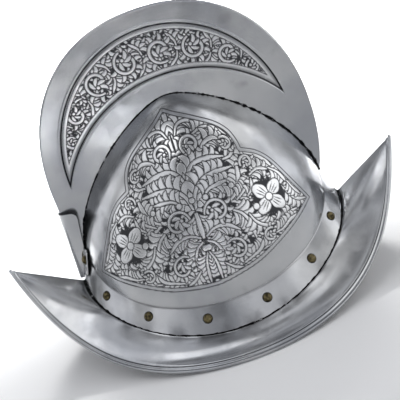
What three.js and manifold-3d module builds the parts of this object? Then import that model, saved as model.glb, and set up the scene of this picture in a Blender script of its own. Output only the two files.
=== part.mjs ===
// Comb morion: an open infantry helmet of polished sheet steel.
// Millimetres. +X is the wearer's front, -Y the wearer's right, +Z up, and the brim rests on z = 0.
import * as THREE from 'three';
import { mergeVertices } from 'three/addons/utils/BufferGeometryUtils.js';
import Module from 'manifold-3d';

const wasm = await Module();
wasm.setup();

// ---- driving dimensions ----
const SHEET = 1.2;            // thickness of the steel sheet
const GAP = 0.3;              // clearance between neighbouring pieces
const SIDES = 72;             // facets round the helmet

// The bowl ends below in a crease, where the sheet turns outward into the riveted band.
const CREASE = { halfLength: 110.9, halfWidth: 96, endHeight: 99.6, sideDrop: 55.1, dropPower: 0.83 };
// The band ends below at the seam with the brim.
const SEAM = { halfLength: 121.2, halfWidth: 108, endHeight: 68.5, sideDrop: 46.1, straightShare: 0.61 };
// The brim's outer edge, a boat shape with a high peak at each end.
const EDGE = { halfLength: 182.1, halfWidth: 131, sideHeight: 0.8, planPower: 1.75 };
const EDGE_RISE = [[2, 18.9], [4, 53.0], [8, 29.6]];   // [power of cos, rise in mm] towards a peak

const BOWL_TOP = 211.1;       // height of the bowl under the comb
const BOWL_POWER_FRONT = 1.6; // superellipse power of the bowl's outline seen from the side
const BOWL_POWER_SIDE = 2.0;  // and seen from the front
const BOWL_LEAN = 2.5;        // how far forward of the middle the bowl's top stands
const BOWL_RINGS = 10;

// The comb's outline is a superellipse round (x, z); its half thickness grows from the edge to the middle.
const COMB = { x: 0.6, z: 156.2, halfLength: 122.4, halfHeight: 134.2, power: 2.2 };
const COMB_THICKNESS = { edgeHalf: 1.8, middleHalf: 12.6, edgeInset: 0.85 };

const BRIM_DISH = 3;          // how far the brim's sides sag below a straight line from seam to edge
const ROLL = { width: 7, half: 2.1 };                  // the rolled edge of the brim
const ROLL_TURNS = [145, 100, 60, 20, -20, -60, -100, -145];   // its corners, in degrees, from top to bottom

const RIVET = { headRadius: 4, headHeight: 2.6, seat: 0.5, shankRadius: 1.5 };
const RIVET_TAIL = { radius: 2.6, height: 0.9 };
const RIVET_FACETS = 10;
const RIVET_ANGLES = [24.4, 49.4, 76.4];               // degrees from the front or the back centre
const RIVET_SHARE = 0.45;                              // how far down the band they sit
const HOLE = { radius: RIVET.shankRadius + GAP, length: 14 };

// The plume holder: a tapering channel round the comb's rear edge, with an ear on each side.
const CHANNEL = { top: 137, sheet: 1.0, cornerRadius: 7 };
const CHANNEL_BACK = [[73, -124.2], [137, -122.7]];                                             // [z, x]
const CHANNEL_FRONT = [[73, -119.8], [86, -115.4], [96, -112.2], [102, -111.2], [137, -106.2]]; // [z, x]
const CHANNEL_HALF_WIDTH = [[73, 2.6], [102, 6.4], [137, 11]];                                  // [z, y]
const CHANNEL_STEPS = 8;      // facets round the channel
const EAR = { inner: 3, outer: 14, bottom: 76, top: 101, thickness: 1.0, corner: 3 };
// The ear is a flat plate: its inner face at (y, z), y measured from the middle on either side.
const earFace = (y, z) => -111.7 - 0.288 * (EAR.top - z) + 0.26 * (y - 4);
const EAR_RIVET = { y: 9.5, z: 91, spaceBehindEar: 2.5 };

const SAME_POINT = 1e-4;      // corners closer than this are one
const ANGLE_STEP = 0.01;      // for taking the direction of a ring at an angle

// ---- materials ----
const steel = new THREE.MeshStandardMaterial({ color: 0xb9bcc0, roughness: 0.22, metalness: 1 });
const agedBrass = new THREE.MeshStandardMaterial({ color: 0x4a4433, roughness: 0.45, metalness: 0.9 });

// ---- the three rings that every sheet hangs on; angle 0 is the front, 90 degrees the left side ----
const cosOf = (angle) => Math.cos(angle);
const sinOf = (angle) => Math.abs(Math.sin(angle));
const sideOf = (angle) => Math.sign(Math.sin(angle));

function creasePoint(angle) {
  const z = CREASE.endHeight - CREASE.sideDrop * sinOf(angle) ** CREASE.dropPower;
  return new THREE.Vector3(CREASE.halfLength * cosOf(angle), CREASE.halfWidth * Math.sin(angle), z);
}

function seamPoint(angle) {
  const s = sinOf(angle);
  const drop = SEAM.sideDrop * (SEAM.straightShare * s + (1 - SEAM.straightShare) * s * s);
  const z = SEAM.endHeight - drop;
  return new THREE.Vector3(SEAM.halfLength * cosOf(angle), SEAM.halfWidth * Math.sin(angle), z);
}

function edgePoint(angle) {
  const rise = EDGE_RISE.reduce((sum, [power, height]) => sum + height * cosOf(angle) ** power, 0);
  const y = EDGE.halfWidth * sideOf(angle) * sinOf(angle) ** EDGE.planPower;
  return new THREE.Vector3(EDGE.halfLength * cosOf(angle), y, EDGE.sideHeight + rise);
}

// A point of the bowl: lift runs from 0 at the crease to 1 at the top.
function bowlPoint(angle, lift) {
  const foot = creasePoint(angle);
  const power = BOWL_POWER_FRONT * cosOf(angle) ** 2 + BOWL_POWER_SIDE * sinOf(angle) ** 2;
  const inward = Math.cos(lift * Math.PI / 2) ** (2 / power);
  const upward = Math.sin(lift * Math.PI / 2) ** (2 / power);
  return new THREE.Vector3(
    foot.x * inward + BOWL_LEAN * upward,
    foot.y * inward,
    foot.z + (BOWL_TOP - foot.z) * upward,
  );
}

const bandPoint = (angle, share) => creasePoint(angle).lerp(seamPoint(angle), share);

// ---- mesh helpers ----
const angles = (count) => Array.from({ length: count }, (_, i) => (i / count) * 2 * Math.PI);

function indexed(points, triangles) {
  const geometry = new THREE.BufferGeometry();
  const coordinates = points.flatMap((point) => point.toArray());
  geometry.setAttribute('position', new THREE.Float32BufferAttribute(coordinates, 3));
  geometry.setIndex(triangles);
  return geometry;
}

// Triangles between neighbouring rings of equal length; a ring of one point closes a pole.
function ringTriangles(sizes, cyclic) {
  const starts = sizes.map((_, i) => sizes.slice(0, i).reduce((sum, n) => sum + n, 0));
  const triangles = [];
  const lastStrip = cyclic ? sizes.length : sizes.length - 1;
  for (let i = 0; i < lastStrip; i += 1) {
    const next = (i + 1) % sizes.length;
    const count = Math.max(sizes[i], sizes[next]);
    for (let j = 0; j < count; j += 1) {
      const k = (j + 1) % count;
      const [a, b] = [starts[i] + (j % sizes[i]), starts[i] + (k % sizes[i])];
      const [c, d] = [starts[next] + (j % sizes[next]), starts[next] + (k % sizes[next])];
      if (a !== b) triangles.push(a, b, d);
      if (c !== d) triangles.push(a, d, c);
    }
  }
  return triangles;
}

function ringSurface(rings, cyclic = false) {
  return indexed(rings.flat(), ringTriangles(rings.map((ring) => ring.length), cyclic));
}

// The rings moved along the surface's normals, outward for a positive distance.
function offsetRings(rings, distance) {
  const surface = ringSurface(rings);
  surface.computeVertexNormals();
  const normals = surface.getAttribute('normal');
  let index = 0;
  return rings.map((ring) => ring.map((point) => {
    const normal = new THREE.Vector3().fromBufferAttribute(normals, index);
    index += 1;
    return point.clone().addScaledVector(normal, distance);
  }));
}

function toSolid(geometry) {
  const bare = new THREE.BufferGeometry();
  bare.setAttribute('position', geometry.getAttribute('position').clone());
  if (geometry.index) bare.setIndex(geometry.index.clone());
  const merged = mergeVertices(bare, SAME_POINT);
  return new wasm.Manifold(new wasm.Mesh({
    numProp: 3,
    vertProperties: new Float32Array(merged.getAttribute('position').array),
    triVerts: new Uint32Array(merged.index.array),
  }));
}

function fromSolid(solid) {
  const { vertProperties, triVerts } = solid.getMesh();
  const geometry = new THREE.BufferGeometry();
  geometry.setAttribute('position', new THREE.BufferAttribute(new Float32Array(vertProperties), 3));
  geometry.setIndex(new THREE.BufferAttribute(new Uint32Array(triVerts), 1));
  return geometry;
}

function flipTriangles(geometry) {
  const position = geometry.getAttribute('position');
  for (let i = 0; i < position.count; i += 3) {
    const [first, second] = [i, i + 1].map((k) => new THREE.Vector3().fromBufferAttribute(position, k));
    position.setXYZ(i, ...second.toArray());
    position.setXYZ(i + 1, ...first.toArray());
  }
}

// Turns a geometry whose axis is +Y so that the axis points along a direction, and moves it.
function placeOnAxis(geometry, position, direction) {
  const turn = new THREE.Quaternion().setFromUnitVectors(new THREE.Vector3(0, 1, 0), direction);
  return geometry.applyQuaternion(turn).translate(position.x, position.y, position.z);
}

// Straight-line interpolation in a list of [height, value] pairs.
function at(table, height) {
  const next = Math.max(1, table.findIndex(([z]) => z >= height));
  const [[z0, v0], [z1, v1]] = [table[next - 1], table[next]];
  return v0 + ((height - z0) / (z1 - z0)) * (v1 - v0);
}

// ---- rivets ----
// A rivet's place is a point on the outer face of the plates that it clamps, and the way its head faces.
function bandRivetPlace(angle) {
  const centre = bandPoint(angle, RIVET_SHARE);
  const ahead = bandPoint(angle + ANGLE_STEP, RIVET_SHARE);
  const along = ahead.sub(bandPoint(angle - ANGLE_STEP, RIVET_SHARE));
  const down = seamPoint(angle).sub(creasePoint(angle));
  return { centre, facing: down.cross(along).normalize(), grip: SHEET };
}

function earRivetPlace(side) {
  const corner = (y, z) => new THREE.Vector3(earFace(y, z), side * y, z);
  const across = corner(EAR.outer, EAR.top).sub(corner(EAR.inner, EAR.top));
  const upward = corner(EAR.inner, EAR.top).sub(corner(EAR.inner, EAR.bottom));
  const facing = across.cross(upward).multiplyScalar(-side).normalize();
  const centre = corner(EAR_RIVET.y, EAR_RIVET.z).addScaledVector(facing, EAR.thickness);
  return { centre, facing, grip: EAR.thickness + EAR_RIVET.spaceBehindEar + SHEET };
}

const bandRivets = [0, 180].flatMap((end) => [1, -1].flatMap((side) => RIVET_ANGLES.map((turn) => (
  bandRivetPlace(THREE.MathUtils.degToRad(end + side * turn))
))));
const earRivets = [-1, 1].map(earRivetPlace);

function rivetGeometry({ centre, facing, grip }) {
  const domeSteps = 3;
  const dome = Array.from({ length: domeSteps + 1 }, (_, i) => {
    const turn = (i / domeSteps) * Math.PI / 2;
    const height = RIVET.seat + RIVET.headHeight * Math.cos(turn);
    return new THREE.Vector2(RIVET.headRadius * Math.sin(turn), height);
  }).reverse();
  dome[dome.length - 1].x = 0;
  const tail = -grip - RIVET.seat;
  const profile = [
    new THREE.Vector2(0, tail - RIVET_TAIL.height),
    new THREE.Vector2(RIVET_TAIL.radius, tail),
    new THREE.Vector2(RIVET.shankRadius, tail),
    new THREE.Vector2(RIVET.shankRadius, RIVET.seat),
    ...dome,
  ];
  return placeOnAxis(new THREE.LatheGeometry(profile, RIVET_FACETS), centre, facing);
}

function rivetHole({ centre, facing }) {
  const cylinder = new THREE.CylinderGeometry(HOLE.radius, HOLE.radius, HOLE.length, RIVET_FACETS);
  return toSolid(placeOnAxis(cylinder, centre, facing));
}

// ---- skull: bowl and riveted band, formed from one sheet ----
function skullOuterRings() {
  const around = angles(SIDES);
  const bowl = Array.from({ length: BOWL_RINGS }, (_, i) => (
    around.map((angle) => bowlPoint(angle, i / BOWL_RINGS))
  ));
  return [around.map(seamPoint), ...bowl, [new THREE.Vector3(BOWL_LEAN, 0, BOWL_TOP)]];
}

function skullSolid() {
  const outer = skullOuterRings();
  const inner = offsetRings(outer, -SHEET);
  let solid = toSolid(ringSurface([...inner.reverse(), ...outer]));
  for (const place of [...bandRivets, ...earRivets]) {
    solid = solid.subtract(rivetHole(place));
  }
  return solid;
}

// Everything that the skull encloses, grown by the clearance: what the comb must stay outside of.
function skullEnvelope() {
  const wellBelow = [new THREE.Vector3(0, 0, -40)];
  return toSolid(ringSurface([wellBelow, ...offsetRings(skullOuterRings(), GAP)]));
}

// ---- comb: a hollow blade, open towards the bowl ----
function combLens(inset) {
  const rounded = (value) => Math.sign(value) * Math.abs(value) ** (2 / COMB.power);
  const rim = (y) => angles(SIDES).map((angle) => new THREE.Vector3(
    COMB.x + (COMB.halfLength - inset) * rounded(Math.cos(angle)),
    y,
    COMB.z + (COMB.halfHeight - inset) * rounded(Math.sin(angle)),
  ));
  const centre = (y) => [new THREE.Vector3(COMB.x, y, COMB.z)];
  const edgeHalf = COMB_THICKNESS.edgeHalf - inset * COMB_THICKNESS.edgeInset;
  const middleHalf = COMB_THICKNESS.middleHalf - inset;
  return toSolid(ringSurface([centre(middleHalf), rim(edgeHalf), rim(-edgeHalf), centre(-middleHalf)]));
}

const combSolid = () => combLens(0).subtract(combLens(SHEET)).subtract(skullEnvelope());

// ---- brim: dished sheet with a rolled edge ----
// Its section at one angle: points as [distance from the seam, height above the line from seam to edge].
// The dish fades out towards the straight ridges at the front and the back.
function brimSection(angle, length) {
  const rollStart = length - ROLL.width;
  const dish = (share) => -4 * BRIM_DISH * sinOf(angle) * share * (1 - share);
  const face = (offset) => [0, 1 / 3, 2 / 3, 1].map((share) => [share * rollStart, dish(share) + offset]);
  const roll = ROLL_TURNS.map(THREE.MathUtils.degToRad).map((turn) => [
    length - ROLL.width / 2 + (ROLL.width / 2) * Math.cos(turn),
    ROLL.half * Math.sin(turn),
  ]);
  return [...face(SHEET / 2), ...roll, ...face(-SHEET / 2).reverse()];
}

function brimGeometry() {
  const seamGap = 1.5 * GAP;
  const sections = angles(SIDES).map((angle) => {
    const seam = seamPoint(angle);
    const edge = edgePoint(angle);
    const outward = edge.clone().sub(seam).normalize();
    const along = seamPoint(angle + ANGLE_STEP).sub(seamPoint(angle - ANGLE_STEP));
    const upward = outward.clone().cross(along).normalize();
    const start = seam.clone().addScaledVector(outward, seamGap).addScaledVector(upward, -SHEET / 2);
    return brimSection(angle, edge.distanceTo(start)).map(([distance, height]) => (
      start.clone().addScaledVector(outward, distance).addScaledVector(upward, height)
    ));
  });
  return ringSurface(sections, true);
}

// ---- plume holder ----
// The channel's section at one height: an open half ellipse of sheet, its opening facing the bowl.
// Near the top it is trimmed back, which rounds the two upper front corners.
function channelSection(height) {
  const back = at(CHANNEL_BACK, height);
  const front = at(CHANNEL_FRONT, height);
  const intoCorner = Math.max(0, height - (CHANNEL.top - CHANNEL.cornerRadius));
  const trim = CHANNEL.cornerRadius - Math.sqrt(CHANNEL.cornerRadius ** 2 - intoCorner ** 2);
  const arc = (inset) => {
    const depth = front - back - inset;
    const halfWidth = at(CHANNEL_HALF_WIDTH, height) - inset;
    const reach = Math.acos(trim / depth);
    return Array.from({ length: CHANNEL_STEPS + 1 }, (_, i) => {
      const turn = (1 - (2 * i) / CHANNEL_STEPS) * reach;
      return new THREE.Vector3(front - depth * Math.cos(turn), halfWidth * Math.sin(turn), height);
    });
  };
  return [...arc(0), ...arc(CHANNEL.sheet).reverse()];
}

function channelSolid() {
  const straightPart = CHANNEL_FRONT.map(([height]) => height).filter((height) => height < CHANNEL.top);
  const roundedTop = [0, 0.4, 0.7, 0.9, 1].map((share) => CHANNEL.top - CHANNEL.cornerRadius * (1 - share));
  const sections = [...straightPart, ...roundedTop].map(channelSection);
  const around = sections[0].length;
  const sides = ringTriangles(sections.map(() => around), false);
  const lastSection = around * (sections.length - 1);
  const caps = [];
  for (let i = 0; i < around / 2 - 1; i += 1) {
    const [a, b, c, d] = [i, i + 1, around - 2 - i, around - 1 - i];
    caps.push(a, c, b, a, d, c);
    caps.push(...[a, b, c, a, c, d].map((index) => index + lastSection));
  }
  return toSolid(indexed(sections.flat(), [...sides, ...caps]));
}

// An ear lies flat behind the bowl's foot and is riveted to it; side is 1 for the left, -1 for the right.
function earSolid(side) {
  const { inner, outer, bottom, top, thickness, corner } = EAR;
  const outline = new THREE.Shape();
  outline.moveTo(inner, bottom);
  outline.lineTo(outer - corner, bottom);
  outline.quadraticCurveTo(outer, bottom, outer, bottom + corner);
  outline.lineTo(outer, top - corner);
  outline.quadraticCurveTo(outer, top, outer - corner, top);
  outline.lineTo(inner, top);
  const extrusion = { depth: thickness, bevelEnabled: false, curveSegments: 3 };
  const plate = new THREE.ExtrudeGeometry(outline, extrusion);
  const position = plate.getAttribute('position');
  for (let i = 0; i < position.count; i += 1) {
    const [y, z, depth] = [position.getX(i), position.getY(i), position.getZ(i)];
    position.setXYZ(i, earFace(y, z) - depth, side * y, z);
  }
  if (side > 0) flipTriangles(plate);
  return toSolid(plate);
}

function plumeHolderSolid() {
  let solid = channelSolid();
  for (const side of [-1, 1]) {
    solid = solid.add(earSolid(side));
  }
  for (const place of earRivets) {
    solid = solid.subtract(rivetHole(place));
  }
  return solid;
}

// ---- assembly ----
const helmet = new THREE.Group();

function addPiece(name, geometry, material) {
  const mesh = new THREE.Mesh(geometry, material);
  mesh.name = name;
  helmet.add(mesh);
}

addPiece('skull', fromSolid(skullSolid()), steel);
addPiece('comb', fromSolid(combSolid()), steel);
addPiece('brim', brimGeometry(), steel);
addPiece('plume_holder', fromSolid(plumeHolderSolid()), steel);
bandRivets.forEach((place, i) => {
  addPiece(`band_rivet_${String(i + 1).padStart(2, '0')}`, rivetGeometry(place), agedBrass);
});
earRivets.forEach((place, i) => {
  addPiece(`holder_rivet_${i === 0 ? 'right' : 'left'}`, rivetGeometry(place), agedBrass);
});

export default helmet;
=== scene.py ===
"""Comb morion helmet: fine surfaces, etched ornament, materials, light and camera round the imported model.

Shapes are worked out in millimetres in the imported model's frame: +X is the wearer's front and -Y the
wearer's right.
"""
import math

import bpy
import numpy as np
from mathutils import Matrix, Vector


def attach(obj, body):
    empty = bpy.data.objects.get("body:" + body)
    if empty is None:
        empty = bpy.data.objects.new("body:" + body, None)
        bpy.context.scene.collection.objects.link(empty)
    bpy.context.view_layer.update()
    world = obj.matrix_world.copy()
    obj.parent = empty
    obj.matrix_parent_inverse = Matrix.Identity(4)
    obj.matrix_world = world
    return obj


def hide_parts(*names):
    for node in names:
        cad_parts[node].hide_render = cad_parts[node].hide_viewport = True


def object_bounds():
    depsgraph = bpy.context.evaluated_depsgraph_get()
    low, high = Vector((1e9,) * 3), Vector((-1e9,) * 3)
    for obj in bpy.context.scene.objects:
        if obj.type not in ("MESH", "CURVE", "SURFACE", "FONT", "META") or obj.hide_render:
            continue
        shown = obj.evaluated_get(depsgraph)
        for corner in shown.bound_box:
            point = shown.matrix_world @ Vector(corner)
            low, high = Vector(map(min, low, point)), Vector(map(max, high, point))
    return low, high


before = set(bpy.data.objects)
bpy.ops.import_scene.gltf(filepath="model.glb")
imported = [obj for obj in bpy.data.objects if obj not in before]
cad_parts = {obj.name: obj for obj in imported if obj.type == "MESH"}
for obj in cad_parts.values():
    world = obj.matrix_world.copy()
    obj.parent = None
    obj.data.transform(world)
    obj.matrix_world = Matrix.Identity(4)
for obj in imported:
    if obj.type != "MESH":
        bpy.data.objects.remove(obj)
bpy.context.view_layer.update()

MM = 0.001
SEED = 7
random = np.random.default_rng(SEED)

# ---- driving dimensions in mm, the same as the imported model's
SHEET = 1.2
CREASE_LENGTH, CREASE_WIDTH, CREASE_HEIGHT, CREASE_DROP, CREASE_POWER = 110.9, 96.0, 99.6, 55.1, 0.83
SEAM_LENGTH, SEAM_WIDTH, SEAM_HEIGHT, SEAM_DROP, SEAM_STRAIGHT = 121.2, 108.0, 68.5, 46.1, 0.61
EDGE_LENGTH, EDGE_WIDTH, EDGE_HEIGHT, EDGE_POWER = 182.1, 131.0, 0.8, 1.75
EDGE_RISE = {2: 18.9, 4: 53.0, 8: 29.6}
BOWL_TOP, BOWL_LEAN = 211.1, 2.5
BOWL_POWER_FRONT, BOWL_POWER_SIDE = 1.6, 2.0
COMB_X, COMB_Z, COMB_LENGTH, COMB_HEIGHT, COMB_POWER = 0.6, 156.2, 122.4, 134.2, 2.2
COMB_EDGE_HALF, COMB_MIDDLE_HALF = 1.8, 12.6
BRIM_DISH = 3.0
GAP = 0.3
RIVET_TURNS = (24.4, 49.4, 76.4)
RIVET_SHARE = 0.45
RIVET_RADIUS, RIVET_HEIGHT = 4.0, 2.9
FLANGE = 0.45
CHANNEL_BOTTOM, CHANNEL_TOP, CHANNEL_CORNER, CHANNEL_SHEET = 73.0, 137.0, 7.0, 1.0
CHANNEL_BACK = [(73, -124.2), (137, -122.7)]                                             # (z, x)
CHANNEL_FRONT = [(73, -119.8), (86, -115.4), (96, -112.2), (102, -111.2), (137, -106.2)]  # (z, x)
CHANNEL_HALF_WIDTH = [(73, 2.6), (102, 6.4), (137, 11)]                                  # (z, y)
CHANNEL_POINTS = 29
EAR_INNER, EAR_OUTER, EAR_BOTTOM, EAR_TOP, EAR_SHEET, EAR_CORNER = 3.0, 14.0, 76.0, 101.0, 1.0, 3.0
EAR_X, EAR_SLOPE, EAR_SWEEP, EAR_FOLD = -111.7, 0.288, 0.26, 4.0
EAR_RIVET_Y, EAR_RIVET_Z = 9.5, 91.0
SEAM_WELD_POINTS, FOOT_WELD_POINTS = 900, 700


# ---- the helmet's surfaces
def crease(angle):
    side = np.abs(np.sin(angle))
    z = CREASE_HEIGHT - CREASE_DROP * side ** CREASE_POWER
    return np.stack([CREASE_LENGTH * np.cos(angle), CREASE_WIDTH * np.sin(angle), z], -1)


def seam(angle):
    side = np.abs(np.sin(angle))
    z = SEAM_HEIGHT - SEAM_DROP * (SEAM_STRAIGHT * side + (1 - SEAM_STRAIGHT) * side ** 2)
    return np.stack([SEAM_LENGTH * np.cos(angle), SEAM_WIDTH * np.sin(angle), z], -1)


def brim_edge(angle):
    c, s = np.cos(angle), np.sin(angle)
    rise = sum(height * c ** power for power, height in EDGE_RISE.items())
    y = EDGE_WIDTH * np.sign(s) * np.abs(s) ** EDGE_POWER
    return np.stack([EDGE_LENGTH * c, y, EDGE_HEIGHT + rise], -1)


def bowl_power(angle):
    return BOWL_POWER_FRONT * np.cos(angle) ** 2 + BOWL_POWER_SIDE * np.sin(angle) ** 2


def bowl(angle, lift):
    """The bowl's surface: lift runs from 0 at the crease to 1 at the top."""
    foot = crease(angle)
    share = 2 / bowl_power(angle)
    inward = np.clip(np.cos(lift * np.pi / 2), 0, 1) ** share
    upward = np.sin(lift * np.pi / 2) ** share
    x = foot[..., 0] * inward + BOWL_LEAN * upward
    z = foot[..., 2] + (BOWL_TOP - foot[..., 2]) * upward
    return np.stack([x, foot[..., 1] * inward, z], -1)


def band(angle, share):
    share = np.asarray(share)[..., None]
    return crease(angle) * (1 - share) + seam(angle) * share


def outside_skull(points):
    """Above 0 outside the bowl and band, below 0 inside, as a share of the radius."""
    x, y, z = points[..., 0], points[..., 1], points[..., 2]
    upward = np.zeros_like(z)
    for _ in range(6):
        angle = np.arctan2(y / CREASE_WIDTH, (x - BOWL_LEAN * upward) / CREASE_LENGTH)
        foot = crease(angle)[..., 2]
        upward = np.clip((z - foot) / (BOWL_TOP - foot), 0, 1)
    power = bowl_power(angle)
    bowl_scale = np.clip(1 - upward ** power, 1e-9, 1) ** (1 / power)
    below = np.clip((foot - z) / (foot - seam(angle)[..., 2]), 0, 1)
    scale = bowl_scale + below * (SEAM_LENGTH / CREASE_LENGTH - 1)
    return np.hypot((x - BOWL_LEAN * upward) / CREASE_LENGTH, y / CREASE_WIDTH) / scale - 1


def unit(vectors):
    return vectors / np.maximum(np.linalg.norm(vectors, axis=-1, keepdims=True), 1e-12)


def grid_normals(points):
    """Unit normals of a grid of points, pointing along d/drow x d/dcolumn."""
    return unit(np.cross(np.gradient(points, axis=0), np.gradient(points, axis=1)))


def normals_like(guides, points):
    """Unit normals of a grid of points, each turned to the same side as its guide."""
    normals = grid_normals(points)
    return normals * np.sign((normals * guides).sum(-1, keepdims=True))


# ---- meshes
def add_object(name, data):
    """An object that shows the data, linked to the scene."""
    thing = bpy.data.objects.new(name, data)
    bpy.context.scene.collection.objects.link(thing)
    return thing


def make_object(name, vertices, faces, normals=None, marks=None):
    """A mesh object in metres from vertices in mm; marks are per-vertex numbers from 0 to 1."""
    mesh = bpy.data.meshes.new(name)
    mesh.from_pydata((np.asarray(vertices) * MM).tolist(), [], faces)
    mesh.shade_smooth()
    for mark, values in (marks or {}).items():
        layer = mesh.attributes.new(mark, "FLOAT", "POINT")
        layer.data.foreach_set("value", np.asarray(values, np.float32))
    if normals is not None:
        mesh.normals_split_custom_set_from_vertices(np.asarray(normals).tolist())
    return add_object(name, mesh)


def finish_piece(piece, material, slot, *nodes):
    """Gives a piece its material and its body, and hides the nodes that it replaces; `slot` is not used."""
    piece.data.materials.clear()
    piece.data.materials.append(material)
    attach(piece, "root")
    if nodes:
        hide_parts(*nodes)


def drift(count, smoothness, closed=False):
    """A smooth random number for each point of a path, about -1 to 1."""
    values = random.standard_normal(count)
    if closed:
        values = np.concatenate([values, values[:smoothness * 2]])
    smooth = np.convolve(values, np.hanning(smoothness + 2), "same")[:count]
    return smooth / smooth.std()


def grid_faces(rows, columns, wrap_rows=False, wrap_columns=False, start=0):
    """Quads between the neighbouring points of a grid whose points are numbered row by row."""
    row = np.arange(rows if wrap_rows else rows - 1)[:, None]
    column = np.arange(columns if wrap_columns else columns - 1)[None, :]
    next_row, next_column = (row + 1) % rows, (column + 1) % columns
    corners = [row * columns + column, next_row * columns + column,
               next_row * columns + next_column, row * columns + next_column]
    return (np.stack(corners, -1).reshape(-1, 4) + start).tolist()


class PatchedGrid:
    """A surface of coarse cells in which some cells are cut finely, with no loose edges between the two.

    points, normals and marks are given on the fine grid, which has `cuts` steps to a coarse cell. `number`
    turns a fine grid point's key into the number of its vertex, or -1 where there is none.
    """

    def __init__(self, points, normals, marks, cuts, is_fine):
        self.cuts = cuts
        self.columns = points.shape[1]
        fine = self._fine_quads(is_fine)
        coarse = self._coarse_polygons(is_fine)
        used = np.unique(np.concatenate([fine.ravel(), np.concatenate(coarse)]))
        number = np.full(points.shape[0] * points.shape[1], -1)
        number[used] = np.arange(len(used))
        self.faces = number[fine].tolist() + [number[polygon].tolist() for polygon in coarse]
        self.points = points.reshape(-1, 3)[used]
        self.normals = normals.reshape(-1, 3)[used]
        self.marks = {name: values.reshape(-1)[used] for name, values in marks.items()}
        self.number = number

    def _key(self, row, column):
        return row * self.columns + column

    def _fine_quads(self, is_fine):
        rows, columns = np.nonzero(is_fine)
        step = np.arange(self.cuts)
        row = (rows[:, None, None] * self.cuts + step[None, :, None])
        column = (columns[:, None, None] * self.cuts + step[None, None, :])
        row, column = np.broadcast_arrays(row, column)
        corners = [self._key(row, column), self._key(row + 1, column),
                   self._key(row + 1, column + 1), self._key(row, column + 1)]
        return np.stack(corners, -1).reshape(-1, 4)

    def _coarse_polygons(self, is_fine):
        cuts = self.cuts
        padded = np.pad(is_fine, 1)
        polygons = []
        for i, j in zip(*np.nonzero(~is_fine)):
            near = padded[i:i + 3, j:j + 3]
            sides = (
                (near[1, 0], (i * cuts, j * cuts), (1, 0)),
                (near[2, 1], ((i + 1) * cuts, j * cuts), (0, 1)),
                (near[1, 2], ((i + 1) * cuts, (j + 1) * cuts), (-1, 0)),
                (near[0, 1], (i * cuts, (j + 1) * cuts), (0, -1)),
            )
            polygon = []
            for is_split, (row, column), (down, across) in sides:
                steps = range(cuts) if is_split else (0,)
                polygon.extend(self._key(row + down * n, column + across * n) for n in steps)
            polygons.append(np.array(polygon))
        return polygons


# ---- drawing the ornament
def smooth_path(points, steps=7):
    """A Catmull-Rom curve through given points."""
    points = np.asarray(points, float)
    padded = np.concatenate([[2 * points[0] - points[1]], points, [2 * points[-1] - points[-2]]])
    t = np.linspace(0, 1, steps, endpoint=False)[:, None]
    curve = []
    for a, b, c, d in zip(padded, padded[1:], padded[2:], padded[3:]):
        curve.append(0.5 * (2 * b + (c - a) * t + (2 * a - 5 * b + 4 * c - d) * t ** 2
                            + (3 * b - a - 3 * c + d) * t ** 3))
    return np.concatenate(curve + [points[-1:]])


LINE = 1.15            # dark line round a shape, mm
LOBE_LINE = 1.0        # and round a lobe of a leaf
PLAIN = 9.0            # brightness far above 0: untouched metal

# half widths from base to tip, as shares of the lobe's length, the leaf's size and the flower's radius
LOBE_WIDTHS = np.array([0.05, 0.11, 0.15, 0.16, 0.12, 0.03])
STALK_WIDTHS = np.array([0.06, 0.09, 0.12, 0.15, 0.04])
PETAL_WIDTHS = np.array([0.10, 0.25, 0.35, 0.26, 0.02])
# and in mm, of a petal's rib and of a scroll's stem
RIB_WIDTHS = (0.3, 0.55, 0.1)
STEM_WIDTHS = (0.8, 1.0, 1.1, 1.1, 1.1, 1.2, 1.4)

LOBE_STEPS = 5
LOBE_SPACING, LOBE_LENGTH = 0.54, 1.35       # along a leaf's stalk, as shares of the leaf's size
LOBE_LEAN, LOBE_CURL = 0.35, 1.5             # radians: how a lobe leaves the stalk, and how far it curls
SCROLL_TURNS, SCROLL_SHRINK, SCROLL_POINTS = 1.05, 0.62, 48


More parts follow.
